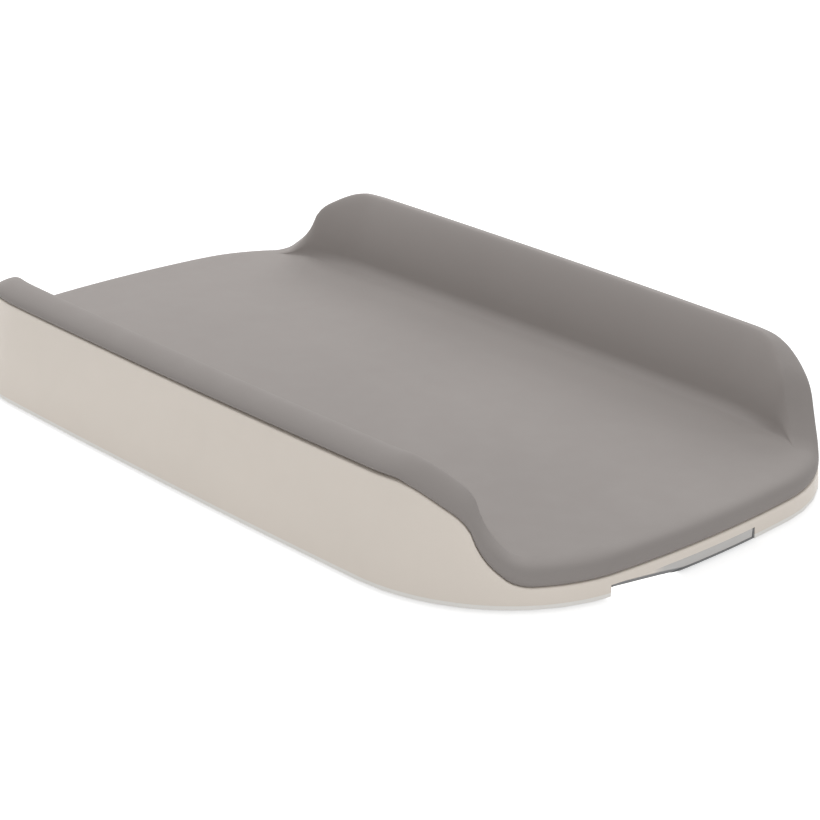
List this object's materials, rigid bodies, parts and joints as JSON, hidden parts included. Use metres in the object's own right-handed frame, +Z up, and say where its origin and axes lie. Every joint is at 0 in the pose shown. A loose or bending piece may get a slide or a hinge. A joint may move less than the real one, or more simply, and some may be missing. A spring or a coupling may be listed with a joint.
{
  "type": "baby changing station",
  "caption": "low moulded changing base with a lift-off foam pad that turns up along both long sides, with a display strip in the front lip and a scale inside",
  "frame": {"origin": "on the floor at the middle of the object, where its feet stand", "axes": "+Z up, +Y along the length away from the display end, +X across the width"},
  "size_m": [0.54, 0.8369, 0.118],
  "materials": {
    "pad_skin": "soft matt moulded skin over foam",
    "base_plastic": "fine satin moulding",
    "cover_plastic": "fine satin moulding",
    "foot_rubber": "matt, non-slip",
    "cell_steel": "stamped, bare",
    "inner_plastic": "plain moulding",
    "lens": "polished smoked strip",
    "bezel_plastic": "dark, fine grain",
    "board": "coated circuit board",
    "can_steel": "tinned",
    "button_plastic": "plain moulding",
    "ribbon": "flat flexible cable",
    "battery_case": "plain sleeve",
    "contact_steel": "nickel plated",
    "wire": "insulated stranded wire",
    "screw_steel": "zinc plated"
  },
  "bodies": {
    "base": {"base_shell": "base_plastic", "bottom_cover": "cover_plastic", "foot_pad_front_left": "foot_rubber", "foot_front_left": "cover_plastic", "load_cell_front_left": "cell_steel", "cell_carrier_front_left": "inner_plastic", "foot_pad_front_right": "foot_rubber", "foot_front_right": "cover_plastic", "load_cell_front_right": "cell_steel", "cell_carrier_front_right": "inner_plastic", "foot_pad_rear_left": "foot_rubber", "foot_rear_left": "cover_plastic", "load_cell_rear_left": "cell_steel", "cell_carrier_rear_left": "inner_plastic", "foot_pad_rear_right": "foot_rubber", "foot_rear_right": "cover_plastic", "load_cell_rear_right": "cell_steel", "cell_carrier_rear_right": "inner_plastic", "display_lens": "lens", "display_bezel": "bezel_plastic", "display_module": "inner_plastic", "main_board": "board", "wireless_module": "can_steel", "tact_switch": "inner_plastic", "display_ribbon": "ribbon", "battery_1": "battery_case", "contact_plate_1": "contact_steel", "contact_spring_1": "contact_steel", "battery_2": "battery_case", "contact_plate_2": "contact_steel", "contact_spring_2": "contact_steel", "battery_3": "battery_case", "contact_plate_3": "contact_steel", "contact_spring_3": "contact_steel", "battery_4": "battery_case", "contact_plate_4": "contact_steel", "contact_spring_4": "contact_steel", "loom_front_left": "wire", "loom_front_right": "wire", "loom_rear_left": "wire", "loom_rear_right": "wire", "battery_lead": "wire", "cover_screw_1": "screw_steel", "cover_screw_2": "screw_steel", "cover_screw_3": "screw_steel", "cover_screw_4": "screw_steel", "cover_screw_5": "screw_steel", "cover_screw_6": "screw_steel", "cover_screw_7": "screw_steel", "cover_screw_8": "screw_steel", "cover_screw_9": "screw_steel", "cover_screw_10": "screw_steel", "board_screw_1": "screw_steel", "board_screw_2": "screw_steel"},
    "pad": {"changing_pad": "pad_skin"},
    "battery_door": {"battery_door": "cover_plastic"},
    "button": {"unit_button": "button_plastic", "switch_plunger": "inner_plastic"}
  },
  "joints": [
    {"name": "pad_lift", "type": "slide", "parent": "base", "child": "pad", "axis": [0, 0, 1], "range_m": [0, 0.15]},
    {"name": "battery_door_hinge", "type": "hinge", "parent": "base", "child": "battery_door", "pos_m": [0, -0.1785, 0.0045], "axis": [1, 0, 0], "range_deg": [0, 100]},
    {"name": "unit_button_press", "type": "slide", "parent": "base", "child": "button", "axis": [0, 0, 1], "range_m": [0, 0.0005], "stiffness_N_per_m": 200}
  ]
}
